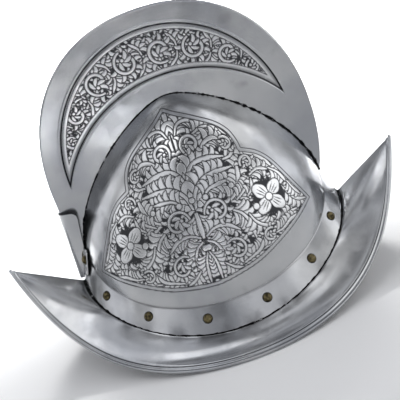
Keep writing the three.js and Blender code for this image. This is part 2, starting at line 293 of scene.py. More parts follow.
class Drawing:
    """An etched drawing on a flat chart, in mm: `bright` is above 0 on polished metal, below 0 where etched.

    Shapes are painted from back to front over an etched ground, each with a dark line round it.
    """

    def __init__(self, x, y):
        self.x, self.y = x.ravel(), y.ravel()
        self.shape = x.shape
        self.bright = np.full(self.x.size, -1.0)

    def _near(self, low, high):
        inside = (self.x > low[0]) & (self.x < high[0]) & (self.y > low[1]) & (self.y < high[1])
        return np.flatnonzero(inside)

    def _paint(self, at, inside, line):
        self.bright[at] = np.maximum(inside, np.minimum(self.bright[at], -inside - line))

    def _stroke(self, path, widths):
        """The points near a path, and how deep each lies in a stroke with these half widths."""
        path = np.asarray(path, float)
        widths = np.asarray(widths, float)
        reach = widths.max() + LINE + 0.5
        at = self._near(path.min(0) - reach, path.max(0) + reach)
        start, run = path[:-1], np.diff(path, axis=0)
        length = np.maximum(np.hypot(*run.T), 1e-9)
        travelled = np.concatenate([[0], np.cumsum(length)])
        dx = self.x[at][:, None] - start[None, :, 0]
        dy = self.y[at][:, None] - start[None, :, 1]
        along = np.clip((dx * run[:, 0] + dy * run[:, 1]) / length ** 2, 0, 1)
        share = (travelled[:-1] + along * length) / travelled[-1]
        half = np.interp(share, np.linspace(0, 1, len(widths)), widths)
        away = np.hypot(dx - along * run[:, 0], dy - along * run[:, 1])
        return at, (half - away).max(1)

    def leaf(self, path, widths, line=LINE):
        """A bright stroke."""
        at, inside = self._stroke(path, widths)
        self._paint(at, inside, line)

    def cut(self, path, widths):
        """A dark stroke over what is below."""
        at, inside = self._stroke(path, widths)
        self.bright[at] = np.minimum(self.bright[at], -inside)

    def clear(self, x, y, radius):
        """Bare etched ground in a circle."""
        self.bright[np.hypot(self.x - x, self.y - y) < radius] = -1.0

    def ball(self, x, y, radius, line=LINE):
        reach = radius + line + 0.5
        at = self._near((x - reach, y - reach), (x + reach, y + reach))
        self._paint(at, radius - np.hypot(self.x[at] - x, self.y[at] - y), line)

    def field(self):
        return self.bright.reshape(self.shape)


def heading_at(path, share):
    """The point at a share of a path's steps, and the path's direction there."""
    place = share * (len(path) - 1.001)
    index = int(place)
    run = path[index + 1] - path[index]
    return path[index] + (place - index) * run, math.atan2(run[1], run[0])


def step_towards(point, angle, distance):
    return point + distance * np.array([math.cos(angle), math.sin(angle)])


def lobe(art, base, angle, length, bend):
    """One curled lobe of a leaf, which leaves its base at an angle and bends by `bend` radians."""
    path = [base]
    for step in range(LOBE_STEPS):
        turned = angle + bend * (step / (LOBE_STEPS - 1)) ** 1.2
        path.append(step_towards(path[-1], turned, length / LOBE_STEPS))
    art.leaf(smooth_path(path, 3), length * LOBE_WIDTHS, line=LOBE_LINE)


def lobes_along(art, path, shares, lean, length, bend):
    """Equal lobes at these shares of a path; lean and bend are in radians."""
    for share in shares:
        base, angle = heading_at(path, share)
        lobe(art, base, angle + lean, length, bend)


def frond(art, points, size):
    """An acanthus leaf along a curve: pairs of lobes that curl away from the stalk, which lies over them."""
    path = smooth_path(points)
    length = np.hypot(*np.diff(path, axis=0).T).sum()
    pairs = max(2, round(length / (LOBE_SPACING * size)))
    for pair in range(pairs):
        shares = [0.02 + 0.84 * pair / pairs]
        taper = 1 - 0.4 * (pair / pairs) ** 2
        for side in (1, -1):
            lobes_along(art, path, shares, side * LOBE_LEAN, LOBE_LENGTH * size * taper, side * LOBE_CURL)
    art.leaf(path, size * STALK_WIDTHS)


def scroll(art, x, y, radius, start, hand):
    """A stem that winds in round (x, y) from `start` degrees, with leaves on both sides and at its heart."""
    spin = np.linspace(0, SCROLL_TURNS, SCROLL_POINTS)
    reach = radius * (1 - SCROLL_SHRINK * spin / SCROLL_TURNS)
    turned = math.radians(start) + hand * 2 * np.pi * spin
    path = np.stack([x + reach * np.cos(turned), y + reach * np.sin(turned)], -1)
    art.clear(x, y, 0.45 * radius)
    outside = np.linspace(0.0, 0.62, max(4, round(0.6 * radius)))
    lobes_along(art, path, outside, -0.4 * hand, 0.45 * radius + 4.0, -1.6 * hand)
    inside = np.linspace(0.05, 0.7, max(3, round(0.4 * radius)))
    lobes_along(art, path, inside, 0.5 * hand, 0.5 * radius + 1.0, 1.6 * hand)
    art.leaf(path, STEM_WIDTHS)
    for turn in (0.1, 1.0, 1.9, 2.8):
        lobes_along(art, path, [1.0], hand * turn, 0.75 * radius + 1.0, 1.3 * hand)
    heart, _ = heading_at(path, 1.0)
    art.ball(*heart, 0.05 * radius + 0.8)


def undergrowth(art, spacing, size):
    """Small curled leaves all over the ground, which show between the larger shapes."""
    across = np.arange(art.x.min(), art.x.max(), spacing)
    upward = np.arange(art.y.min(), art.y.max(), spacing * 0.8)
    for row, y in enumerate(upward):
        for column, x in enumerate(across):
            shift = 0.5 * spacing * (row % 2)
            swirl = 2.2 * math.sin(0.11 * x + 0.05 * y) + 1.9 * math.cos(0.09 * y - 0.04 * x)
            hand = 1 if (row + column) % 2 else -1
            lobe(art, np.array([x + shift, y]), swirl, size, hand * 1.8)


def flower(art, x, y, radius, turn):
    """Four broad ribbed petals round a ball, on bare ground, the first of them at `turn` degrees."""
    centre = np.array([x, y])
    art.ball(x, y, 0.9 * radius)
    art.clear(x, y, 0.9 * radius)
    for petal in range(4):
        angle = math.radians(turn + 90 * petal)
        path = [step_towards(centre, angle, radius * share) for share in (0.1, 0.4, 0.7, 1.0)]
        art.leaf(smooth_path(path, 4), radius * PETAL_WIDTHS)
        for lean in (-0.34, 0, 0.34):
            rib = [step_towards(centre, angle + 1.1 * lean, 0.3 * radius),
                   step_towards(centre, angle + 0.7 * lean, 0.78 * radius)]
            art.cut(rib, RIB_WIDTHS)
    art.ball(x, y, 0.19 * radius)


TINY = 1e-12


def inside_depth(x, y, outline):
    """Distance in from a closed outline, below 0 outside it."""
    outline = np.asarray(outline, float)
    ends = np.roll(outline, -1, 0)
    depth = np.full(x.shape, np.inf)
    odd = np.zeros(x.shape, bool)
    for (ax, ay), (bx, by) in zip(outline, ends):
        run_x, run_y = bx - ax, by - ay
        along = np.clip(((x - ax) * run_x + (y - ay) * run_y) / (run_x ** 2 + run_y ** 2 + TINY), 0, 1)
        depth = np.minimum(depth, np.hypot(x - ax - along * run_x, y - ay - along * run_y))
        crosses = (ay > y) != (by > y)
        odd ^= crosses & (x < ax + (y - ay) / (run_y or TINY) * run_x)
    return np.where(odd, depth, -depth)


def fade(values, low, high):
    """A smooth step from 0 at low to 1 at high."""
    t = np.clip((values - low) / (high - low), 0, 1)
    return t * t * (3 - 2 * t)


# The trefoil on each side of the bowl is charted flat. The chart's centre is the point of the bowl that a
# line from CHART_EYE meets, CHART_TILT above the horizontal.
CHART_EYE = np.array([1.0, 0.0, 80.0])
CHART_TILT = math.radians(24)
CHART_RADIUS = 112.0
AXIS_SHIFT = -9.0      # the ornament's middle stands this far behind the chart's centre
AXIS_LEAN = 0.035      # and leans forward


def trefoil_chart(points):
    """Chart coordinates of points on the wearer's right side, the rear half folded on the front half."""
    towards = np.array([0, -math.cos(CHART_TILT), math.sin(CHART_TILT)])
    up = np.array([0, math.sin(CHART_TILT), math.cos(CHART_TILT)])
    direction = unit(points - CHART_EYE)
    turn = np.arccos(np.clip(direction @ towards, -1, 1))
    scale = CHART_RADIUS * turn / np.maximum(np.sin(turn), 1e-9)
    q = scale * (direction @ up)
    p = scale * direction[..., 0] - AXIS_SHIFT
    return AXIS_LEAN * q + np.abs(p - AXIS_LEAN * q), q


# The outline runs in three curves: from the top point to the notch, on to the front point, and back along
# the foot.
TREFOIL_TOP_CURVE = [(4, 107.5), (14, 99), (30, 90.5), (46, 83), (56, 74.5), (61, 64), (63, 55)]
TREFOIL_FRONT_CURVE = [(63, 55), (80, 49.5), (94, 38.5), (110, 16), (129, -13)]
TREFOIL_FOOT_CURVE = [(129, -13), (105, -31), (76, -47.5), (46, -60.5), (16, -67), (-2, -69)]
TREFOIL_BEHIND = [(-40, -67), (-40, 80)]     # closes the outline behind the fold
TREFOIL_CURVES = (TREFOIL_TOP_CURVE, TREFOIL_FRONT_CURVE, TREFOIL_FOOT_CURVE)
TREFOIL_OUTLINE = np.concatenate([smooth_path(curve) for curve in TREFOIL_CURVES] + [TREFOIL_BEHIND])


# The front half of the trefoil, from the back of the drawing to its front; the rear half mirrors it.
FROND_SCALE = 1.2
TREFOIL_FRONDS = [
    # size, and the points that the leaf's stalk passes through
    (8.5, (1, 58), (4, 66), (5, 78), (4, 90)),
    (7.0, (1, 80), (3, 90), (5, 103)),
    (8.0, (6, 78), (11, 87), (20, 89), (31, 84)),
    (8.0, (22, 76), (32, 80), (42, 78), (52, 70)),
    (9.5, (20, 56), (29, 66), (38, 69), (44, 66)),
    (8.5, (42, 48), (50, 50), (56, 58)),
    (11.0, (1, 30), (5, 44), (14, 52), (28, 53), (43, 51)),
    (12.0, (1, 8), (6, 26), (17, 36), (32, 39), (48, 40)),
    (9.0, (12, 20), (20, 26), (30, 28), (40, 29)),
    (11.0, (34, 8), (44, 14), (51, 26), (54, 43)),
    (8.5, (44, 8), (54, 15), (62, 26)),
    (9.0, (1, 8), (1, -2), (0, -18)),
    (10.0, (3, -17), (13, -12), (26, -13), (38, -22)),
    (11.0, (36, 0), (45, -7), (51, -20), (52, -38)),
    (9.5, (2, -22), (9, -27), (13, -38), (12, -58)),
    (8.5, (0, -34), (3, -42), (4, -52), (4, -64)),
    (8.0, (12, -50), (20, -57), (28, -60)),
    (9.5, (30, -57), (42, -53), (53, -48), (62, -36)),
    (9.5, (52, -10), (57, -20), (66, -27), (77, -28)),
    (8.5, (76, -26), (86, -27), (96, -22), (107, -20)),
    (8.5, (74, -38), (84, -36), (94, -30), (105, -26)),
    (8.5, (56, -50), (66, -47), (77, -42)),
    (9.5, (64, 50), (75, 46), (85, 39), (93, 29)),
    (8.5, (64, 28), (74, 32), (85, 29)),
    (9.0, (87, 30), (97, 23), (104, 11)),
    (9.5, (96, 8), (103, -3), (111, -10), (123, -12)),
    (8.0, (105, 12), (110, 3), (117, -6)),
    (8.0, (56, 8), (62, 14), (64, 24)),
]
TREFOIL_SCROLLS = [
    # centre, radius, degrees at which the stem starts, and which way it winds
    (16.5, 68.5, 9.0, 215, -1),
    (48, 62, 6.5, 120, -1),
    (21, 4, 13.0, 175, -1),
    (28.5, -40.5, 12.0, 130, -1),
    (64, 41, 7.0, 200, -1),
    (68, -38, 7.5, 60, 1),
]
TREFOIL_FLOWER = (78.5, 1.0, 20.0, 47)       # centre, radius and degrees at which the first petal stands
TREFOIL_UNDERGROWTH = (6.6, 7.4)             # spacing and length of the small leaves
TREFOIL_BALLS = [(61.8, -5.0, 3.2), (14.5, 20.0, 2.6), (1.0, -28.6, 2.8), (1.0, 21, 2.4), (42.5, 23, 2.4)]


def draw_trefoil(p, q):
    art = Drawing(p, q)
    undergrowth(art, *TREFOIL_UNDERGROWTH)
    for size, *points in TREFOIL_FRONDS:
        frond(art, points, FROND_SCALE * size)
    for settings in TREFOIL_SCROLLS:
        scroll(art, *settings)
    flower(art, *TREFOIL_FLOWER)
    for x, y, radius in TREFOIL_BALLS:
        art.ball(x, y, radius)
    return art.field()


BORDER_HALF = 0.5
BORDER_STEP = 3.8


def trefoil_field(points):
    """Above 0 on polished metal, below 0 in the etched lines; and the depth inside the outline."""
    p, q = trefoil_chart(points)
    depth = inside_depth(p, q, TREFOIL_OUTLINE)
    art = draw_trefoil(p, q)
    inner = BORDER_STEP + BORDER_HALF
    bright = np.where(depth > inner, art, PLAIN)
    bright = np.minimum(bright, np.abs(depth) - BORDER_HALF)
    bright = np.minimum(bright, np.abs(depth - BORDER_STEP) - BORDER_HALF)
    return bright, depth


# ---- skull
ETCH_DEPTH = 0.10
# painted highlight: the ornament is coloured brighter than the plain steel
PAINTED_HIGHLIGHT_SHARE = 0.8                       # how much brighter steel gets inside the ornament, 0 to 1
CREASE_FILLET = 1.6
# painted shade: a dark line along the crease
CREASE_SHADE, CREASE_SHADE_WIDTH = 0.4, 1.3
# painted shade: dark patches along the seam of the band and the brim
SEAM_SHADE, SEAM_SHADE_REACH = 0.6, 7.0
SKULL_COLUMNS = 56
SKULL_CUTS = 10
BAND_ROWS, BOWL_ROWS = 5, 34
TOP_NORMAL = (0, 0, 1)
CREASE_ROWS = np.array([2.0, 1.5, 1.0, 0.5, 0])     # mm from the crease, on either side of it
ETCH_LOW, ETCH_HIGH = -0.22, 0.24                   # mm over which an etched line's edge slopes


def skull_half_grid():
    """Fine grid of the right half: rows from seam over crease to top, columns from back to front."""
    angle = np.radians(np.linspace(-180, 0, SKULL_COLUMNS * SKULL_CUTS + 1))
    slant = np.linalg.norm(crease(angle) - seam(angle), axis=-1)
    rise = BOWL_TOP - crease(angle)[:, 2]
    low = [-(1 - (1 - CREASE_ROWS[0] / slant) * step) for step in np.linspace(0, 1, BAND_ROWS + 1)[:-1]]
    low += [-distance / slant for distance in CREASE_ROWS[:-1]]
    power = bowl_power(angle)
    up = [np.arcsin(np.clip(distance / rise, 0, 1) ** (power / 2)) * 2 / np.pi
          for distance in CREASE_ROWS[::-1]]
    up += [up[-1] + (1 - up[-1]) * (step + 1) / BOWL_ROWS for step in range(BOWL_ROWS)]
    coarse = np.array(low + up)
    fine_at = np.linspace(0, len(coarse) - 1, (len(coarse) - 1) * SKULL_CUTS + 1)
    level = np.array([np.interp(fine_at, np.arange(len(coarse)), column) for column in coarse.T]).T
    angles = np.broadcast_to(angle, level.shape)
    on_bowl = bowl(angles, np.clip(level, 0, 1))
    on_band = band(angles, np.clip(-level, 0, 1))
    return np.where((level >= 0)[..., None], on_bowl, on_band)


def soften_crease(points):
    """Rounds the crease with a parabola between the band and the bowl."""
    corner_row = (BAND_ROWS + len(CREASE_ROWS) - 1) * SKULL_CUTS
    corner = points[corner_row]
    steps = np.linalg.norm(np.diff(points, axis=0), axis=-1)
    travelled = np.concatenate([np.zeros((1, points.shape[1])), np.cumsum(steps, 0)])
    distance = travelled - travelled[corner_row]
    down = unit(points[0] - corner)
    up = np.array([0, 0, 1.0])
    reach = CREASE_FILLET
    bend = (corner + up * ((distance + reach) ** 2 / (4 * reach))[..., None]
            + down * ((reach - distance) ** 2 / (4 * reach))[..., None])
    return np.where((np.abs(distance) < reach)[..., None], bend, points)


def seam_shade_patches(distance, columns, closed=False):
    """Painted shade: dark patches that drift along the seam and fade with the distance from it in mm."""
    patches = fade(drift(columns, columns // 24, closed), -0.4, 1.6)
    return SEAM_SHADE * patches * np.exp(-(distance / SEAM_SHADE_REACH) ** 2)


def coarse_mask(depth, cuts, reach):
    """Coarse cells that come within `reach` mm of the inside of an outline."""
    rows, columns = ((count - 1) // cuts for count in depth.shape)
    inside = depth > -reach
    mask = np.zeros((rows, columns), bool)
    for i in range(rows):
        for j in range(columns):
            mask[i, j] = inside[i * cuts:(i + 1) * cuts + 1, j * cuts:(j + 1) * cuts + 1].any()
    return mask


def skull_half(name, side):
    """One half of the skull with its inner face; side is -1 for the wearer's right and 1 for the left."""
    points = soften_crease(skull_half_grid())
    bright, depth = trefoil_field(points)
    etched = fade(-bright, ETCH_LOW, ETCH_HIGH)
    normals = grid_normals(points)
    normals *= np.sign((normals * (points - CHART_EYE)).sum())
    normals[-1] = TOP_NORMAL
    inner = points - normals * SHEET
    etched_points = points - normals * (ETCH_DEPTH * etched)[..., None]
    etched_normals = normals_like(normals, etched_points)
    etched_normals[-1] = TOP_NORMAL
    is_fine = coarse_mask(depth, SKULL_CUTS, reach=1.5)
    crease_line = crease(np.radians(np.linspace(-180, 0, points.shape[1])))
    from_crease = np.linalg.norm(points - crease_line, axis=-1)
    from_seam = np.linalg.norm(points - points[0], axis=-1)
    # painted shade: a dark line along the crease and dark patches along the seam
    crease_shade = CREASE_SHADE * np.exp(-(from_crease / CREASE_SHADE_WIDTH) ** 2)
    # painted highlight: brighter colour inside the ornament
    marks = {"etched": etched, "painted_highlight": PAINTED_HIGHLIGHT_SHARE * fade(depth, 3.0, 5.0),
             "shade": np.maximum(crease_shade, seam_shade_patches(from_seam, points.shape[1]))}
    outer_mesh = PatchedGrid(etched_points, etched_normals, marks, SKULL_CUTS, is_fine)

    count = len(outer_mesh.points)
    inner_points = inner[::SKULL_CUTS, ::SKULL_CUTS]
    rows, columns = inner_points.shape[:2]
    inner_faces = [face[::-1] for face in grid_faces(rows, columns, start=count)]
    border = [(0, j) for j in range(columns)] + [(i, columns - 1) for i in range(1, rows)]
    border += [(rows - 1, j) for j in range(columns - 2, -1, -1)] + [(i, 0) for i in range(rows - 2, 0, -1)]
    outside = [outer_mesh.number[SKULL_CUTS * (i * points.shape[1] + j)] for i, j in border]
    inside = [count + i * columns + j for i, j in border]
    edge_faces = []
    for k, (row, _) in enumerate(border):
        ahead = (k + 1) % len(border)
        if min(row, border[ahead][0]) < rows - 1:
            edge_faces.append([outside[k], outside[ahead], inside[ahead], inside[k]])
    faces = outer_mesh.faces + inner_faces + edge_faces
    vertices = np.concatenate([outer_mesh.points, inner_points.reshape(-1, 3)])
    all_normals = np.concatenate([outer_mesh.normals, -normals[::SKULL_CUTS, ::SKULL_CUTS].reshape(-1, 3)])
    plain = np.zeros(rows * columns)
    marks = {mark: np.concatenate([values, plain]) for mark, values in outer_mesh.marks.items()}
    if side > 0:
        vertices[:, 1] *= -1
        all_normals[:, 1] *= -1
    else:
        faces = [face[::-1] for face in faces]
    return make_object(name, vertices, faces, all_normals, marks)


# ---- comb
COMB_COLUMNS = 96
COMB_ROWS = 17
COMB_CUTS = 8
PANEL_OUTER = (0.0, 163.6, 104.0, 110.0)     # centre x, z and half sizes of the crescent's outer arc, mm
PANEL_INNER = (2.0, 110.2, 117.0)            # centre x, z and radius of its inner arc
PANEL_TILT = math.radians(2.8)
BEVEL = 3.2
RECESS = 0.9
LIP_HEIGHT, LIP_WIDTH, LIP_OUT = 0.22, 0.8, 1.0          # the lip stands 1 mm outside the outline
CRESCENT_LINE, CRESCENT_LINE_HALF = 2.6, 0.4             # mm from the bevel in, and half the line's width
CRESCENT_ART = 3.0                                       # mm from the bevel in to the ornament
EDGE_BEAD = 2.0
MIRROR = np.array([1, -1, 1])
END_TURN = 0.004                             # radians by which the comb's ends stay short of the bowl


def comb_place(turn, share):
    """A point of the comb's right face; share runs from 0 at the centre to 1 at the rim."""
    c, s = np.cos(turn), np.sin(turn)
    x = COMB_X + COMB_LENGTH * share * np.sign(c) * np.abs(c) ** (2 / COMB_POWER)
    z = COMB_Z + COMB_HEIGHT * share * np.sign(s) * np.abs(s) ** (2 / COMB_POWER)
    half = COMB_MIDDLE_HALF + (COMB_EDGE_HALF - COMB_MIDDLE_HALF) * share + np.zeros_like(x)
    return np.stack([x, -half, z], -1)


def leaves_bowl(place, inside, outside, steps):
    """The number from `inside` to `outside` at which place(number) comes out of the bowl, by halving."""
    for _ in range(steps):
        middle = (inside + outside) / 2
        is_outside = outside_skull(place(middle)) > 0
        outside = np.where(is_outside, middle, outside)
        inside = np.where(is_outside, inside, middle)
    return outside


def comb_foot(turn):
    """The share of the radius at which the comb's side meets the bowl."""
    buried, rim = np.full(turn.shape, 0.2), np.ones(turn.shape)
    return leaves_bowl(lambda share: comb_place(turn, share), buried, rim, 24)


def comb_ends():
    """The two turns at which the comb's rim comes out of the bowl, front and back."""
    top = 0.5 * np.pi
    buried = (-0.6 * np.pi, 1.6 * np.pi)
    return [leaves_bowl(lambda turn: comb_place(turn, 1.0), end, top, 30) for end in buried]


def crescent_depth(x, z):
    """Distance in from the crescent's outline, below 0 outside it."""
    c, s = math.cos(PANEL_TILT), math.sin(PANEL_TILT)
    centre_x, centre_z, half_length, half_height = PANEL_OUTER
    along, above = x * c + (z - centre_z) * s, (z - centre_z) * c - x * s
    share = np.hypot((along - centre_x) / half_length, above / half_height)
    outer = (1 - share) * np.hypot(along - centre_x, above) / np.maximum(share, TINY)
    inner_x, inner_z, inner_radius = PANEL_INNER
    inner = np.hypot(along - inner_x, above - (inner_z - centre_z)) - inner_radius
    return np.minimum(outer, inner)


def comb_side(turns):
    """The comb's right side as a fine grid, row by row from its foot to the bead at its rim."""
    foot = comb_foot(turns)
    bead_start = 1 - EDGE_BEAD / COMB_HEIGHT
    share = foot + (bead_start - foot) * np.linspace(0, 1, COMB_ROWS * COMB_CUTS + 1)[:, None]
    return comb_place(np.broadcast_to(turns, share.shape), share)


def carved_side(points):
    """The comb's right side with the sunk crescent and its ornament carved in."""
    depth = crescent_depth(points[..., 0], points[..., 2])
    groove = fade(depth, 0, BEVEL * 0.5) * (1 - 0.25 * fade(depth, BEVEL * 0.6, BEVEL))
    lip = LIP_HEIGHT * np.exp(-((depth + LIP_OUT) / LIP_WIDTH) ** 2)
    bevel_end = 1 - fade(depth, BEVEL - 0.4, BEVEL + 0.4)
    # painted shade: the sunk crescent's bevel is coloured dark
    bevel_shade = fade(depth, 0.0, 0.7) * (1 - 0.65 * fade(depth, 1.5, 2.2)) * bevel_end
    bright = np.minimum(PLAIN, np.abs(depth - BEVEL - CRESCENT_LINE) - CRESCENT_LINE_HALF)
    bright = np.where(depth > BEVEL + CRESCENT_ART, draw_crescent(points[..., 0], points[..., 2]), bright)
    etched = fade(-bright, ETCH_LOW, ETCH_HIGH)
    height = lip - RECESS * groove - ETCH_DEPTH * etched
    normals = grid_normals(points)
    normals *= -np.sign(normals[..., 1].mean())
    carved = points + normals * height[..., None]
    # painted highlight: brighter colour inside the crescent's ornament
    marks = {"etched": etched, "painted_highlight": PAINTED_HIGHLIGHT_SHARE * fade(depth, BEVEL, BEVEL + 2), "shade": bevel_shade}
    is_fine = coarse_mask(depth, COMB_CUTS, reach=2.5)
    return PatchedGrid(carved, normals_like(normals, carved), marks, COMB_CUTS, is_fine)


def comb_bead(turns):
    """The rounded rim, section points in rows, from the right side over the edge to the left side."""
    rim = comb_place(turns, 1.0) * (1, 0, 1)
    outward = unit(rim - np.array([COMB_X, 0, COMB_Z]))
    neck = [(-EDGE_BEAD + 0.15, -1.45), (-EDGE_BEAD + 0.35, -1.75)]      # (outward, y) in mm
    arc = [(COMB_EDGE_HALF * (math.cos(turn) - 1), COMB_EDGE_HALF * math.sin(turn))
           for turn in np.radians(np.linspace(-90, 90, 11))]
    profile = neck + arc + [(distance, -y) for distance, y in neck[::-1]]
    bead = np.stack([rim + outward * distance + np.array([0, y, 0]) for distance, y in profile])
    normals = grid_normals(bead)
    normals *= np.sign((normals * outward).sum(-1)[len(profile) // 2].mean())
    return bead, normals


def make_comb():
    front, back = comb_ends()
    turns = np.linspace(front + END_TURN, back - END_TURN, COMB_COLUMNS * COMB_CUTS + 1)
    side = carved_side(comb_side(turns))
    bead, bead_normals = comb_bead(turns[::COMB_CUTS])
    count, columns = len(side.points), bead.shape[1]
    vertices = np.concatenate([side.points, side.points * MIRROR, bead.reshape(-1, 3)])
    normals = np.concatenate([side.normals, side.normals * MIRROR, bead_normals.reshape(-1, 3)])
    faces = side.faces + [[vertex + count for vertex in face[::-1]] for face in side.faces]
    top = [side.number[COMB_CUTS * (COMB_ROWS * len(turns) + j)] for j in range(columns)]
    start = 2 * count
    last = start + (len(bead) - 1) * columns
    for j in range(columns - 1):
        faces.append([top[j], start + j, start + j + 1, top[j + 1]])
        faces.append([top[j + 1] + count, last + j + 1, last + j, top[j] + count])
    faces += grid_faces(len(bead), columns, start=start)
    plain = np.zeros(bead[..., 0].size)
    marks = {mark: np.concatenate([values, values, plain]) for mark, values in side.marks.items()}
    return make_object("comb_blade", vertices, faces, normals, marks)


CRESCENT_UNDERGROWTH = (4.4, 6.6)            # spacing and length of the small leaves
CRESCENT_SCROLLS = [     # centre and radius of each scroll, from the rear tip to the front tip
    (-88, 197, 6), (-76, 218, 8.5), (-50, 240, 11.5), (-20, 248, 11.5), (11, 249, 11.5), (41, 242, 11),
    (67, 227, 9), (84, 207, 6.5),
]


def draw_crescent(x, z):
    """A row of scrolls that wind in turn from below and from above, with leaves between them."""
    art = Drawing(x, z)
    undergrowth(art, *CRESCENT_UNDERGROWTH)
    centres = np.array(CRESCENT_SCROLLS)[:, :2]
    middle = np.array(PANEL_INNER[:2])
    for here, there in zip(centres, centres[1:]):
        joint = (here + there) / 2
        outward = unit(joint - middle)
        along = np.array([outward[1], -outward[0]])
        size = 4.5 + 0.1 * np.linalg.norm(there - here)
        for side in (1, -1):
            for lean in (1, -1):
                root = joint + side * outward * 2
                points = [root, root + side * outward * 6 + lean * along * 1.5,
                          root + side * outward * 13 + lean * along * 8]
                frond(art, points, size)
    for index, (cx, cz, radius) in enumerate(CRESCENT_SCROLLS):
        hand = 1 if index % 2 else -1
        scroll(art, cx, cz, radius, 90 * hand + 20, hand)
    return art.field()


# ---- brim
BRIM_COLUMNS = 540
# distance in from the edge, height above the sheet's middle: from the upper face round to the lower
HEM_PROFILE = [
    (7.4, 0.6), (6.7, 0.55), (6.35, 0.05), (6.0, 0.6), (5.5, 1.15), (4.9, 1.25), (4.0, 0.95), (3.2, 0.9),
    (2.6, 1.35), (1.9, 1.95), (1.2, 2.05), (0.6, 1.6), (0.15, 0.8), (0, 0), (0.15, -0.8), (0.6, -1.4),
    (1.2, -1.75), (2.4, -1.8), (3.8, -1.7), (5.2, -1.5), (6.4, -1.1), (6.9, -0.6),
]
HEM_REACH = HEM_PROFILE[0][0]
UPPER_ROWS, LOWER_ROWS = 14, 9
GROOVE_ROW = 20
# painted shade: a dark line in the hem's groove and dark patches along the seam
GROOVE_SHADE, BRIM_SEAM_SHADE = 0.8, 1.3


def brim_sections(angle):
    """The brim's points in rows: outward over the upper face, round the rolled edge and back underneath."""
    start, edge = seam(angle), brim_edge(angle)
    outward = unit(edge - start)
    step = 0.01
    along = seam(angle + step) - seam(angle - step)
    upward = unit(np.cross(outward, along))
    foot = start + outward * 1.5 * GAP - upward * SHEET / 2
    length = np.linalg.norm(edge - foot, axis=-1)
    side = np.abs(np.sin(angle))

    def face_row(share, height):
        dish = -4 * BRIM_DISH * side * share * (1 - share)
        distance = share * (length - HEM_REACH)
        return foot + outward * distance[:, None] + upward * (dish + height)[:, None]

    rows = [face_row(share, SHEET / 2) for share in np.linspace(0, 1, UPPER_ROWS + 1)[:-1]]
    for inset, height in smooth_path(HEM_PROFILE, 3):
        rows.append(foot + outward * (length - inset)[:, None] + upward * height)
    rows += [face_row(share, -SHEET / 2) for share in np.linspace(1, 0, LOWER_ROWS)]
    return np.stack(rows)


def make_brim():
    angle = np.linspace(0, 2 * np.pi, BRIM_COLUMNS, endpoint=False)
    points = brim_sections(angle)
    faces = grid_faces(len(points), BRIM_COLUMNS, wrap_rows=True, wrap_columns=True)
    mark = np.zeros(points.shape[:2])
    upper = points[:UPPER_ROWS]
    from_seam = np.linalg.norm(upper - upper[0], axis=-1)
    # painted shade: dark patches on the brim along the seam
    mark[:UPPER_ROWS] = BRIM_SEAM_SHADE * seam_shade_patches(from_seam, BRIM_COLUMNS, closed=True)
    # painted shade: the hem's groove is coloured dark
    mark[GROOVE_ROW - 1:GROOVE_ROW + 2] = GROOVE_SHADE
    return make_object("brim_sheet", points.reshape(-1, 3), faces, marks={"shade": mark.ravel()})


# ---- rivets
RIVET_SIDES = 28
RIVET_HAMMERING = 0.02                       # as a share of the radius
FLANGE_BOTTOM, FLANGE_TOP = -0.3, 0.12       # mm above the plate
DOME_FOOT = (0.1, 0.14)                      # mm outside the dome and above the plate
DOME_END = 0.47 * np.pi


def rivet_place(angle):
    """Where a band rivet sits and which way it faces."""
    step = 0.01
    along = band(angle + step, RIVET_SHARE) - band(angle - step, RIVET_SHARE)
    facing = unit(np.cross(seam(angle) - crease(angle), along))
    return band(angle, RIVET_SHARE), facing


def make_dome(name, centre, facing, radius, height):
    """A hammered rivet head: a dome on a thin flange that beds it on the plate, with painted shade that makes
    the flange black.
    """
    side = unit(np.cross(facing, [0, 0, 1.0]))
    other = np.cross(facing, side)
    turns = np.linspace(0, DOME_END, 9)
    flange = radius + FLANGE
    profile = [(flange, FLANGE_BOTTOM), (flange, FLANGE_TOP), (radius + DOME_FOOT[0], DOME_FOOT[1])]
    profile += [(radius * math.cos(turn), height * math.sin(turn) ** 0.9) for turn in turns]
    # painted shade: the flange and the dome's foot are coloured black
    dark = [1, 1, 1, 0.6] + [0] * (len(turns) - 1)
    around = RIVET_SIDES
    spin = np.linspace(0, 2 * np.pi, around, endpoint=False)[:, None]
    circle = side * np.cos(spin) + other * np.sin(spin)
    hammered = 1 + RIVET_HAMMERING * random.standard_normal((len(profile), around))
    hammered[:3] = 1
    rings = [centre + reach * rough[:, None] * circle + facing * above
             for rough, (reach, above) in zip(hammered, profile)]
    faces = grid_faces(len(profile), around, wrap_columns=True)
    top = (len(profile) - 1) * around
    faces.append([top + k for k in range(around)])
    faces.append(list(range(around))[::-1])
    return make_object(name, np.concatenate(rings), faces, marks={"shade": np.repeat(dark, around)})


# ---- weld beads
BEAD_SIDES = 7
BEAD_ROUGHNESS = 0.25                        # as a share of the radius
SEAM_WELD_RADIUS, SEAM_WELD_DRIFT = 0.5, 0.15
SEAM_WELD_OUT = 0.2                          # mm from the seam out over the gap
FOOT_WELD_RADIUS, FOOT_WELD_SWELL, FOOT_WELD_DRIFT = 0.48, 0.5, 0.35
FOOT_WELD_LIFT = 0.002                       # share of the comb's radius


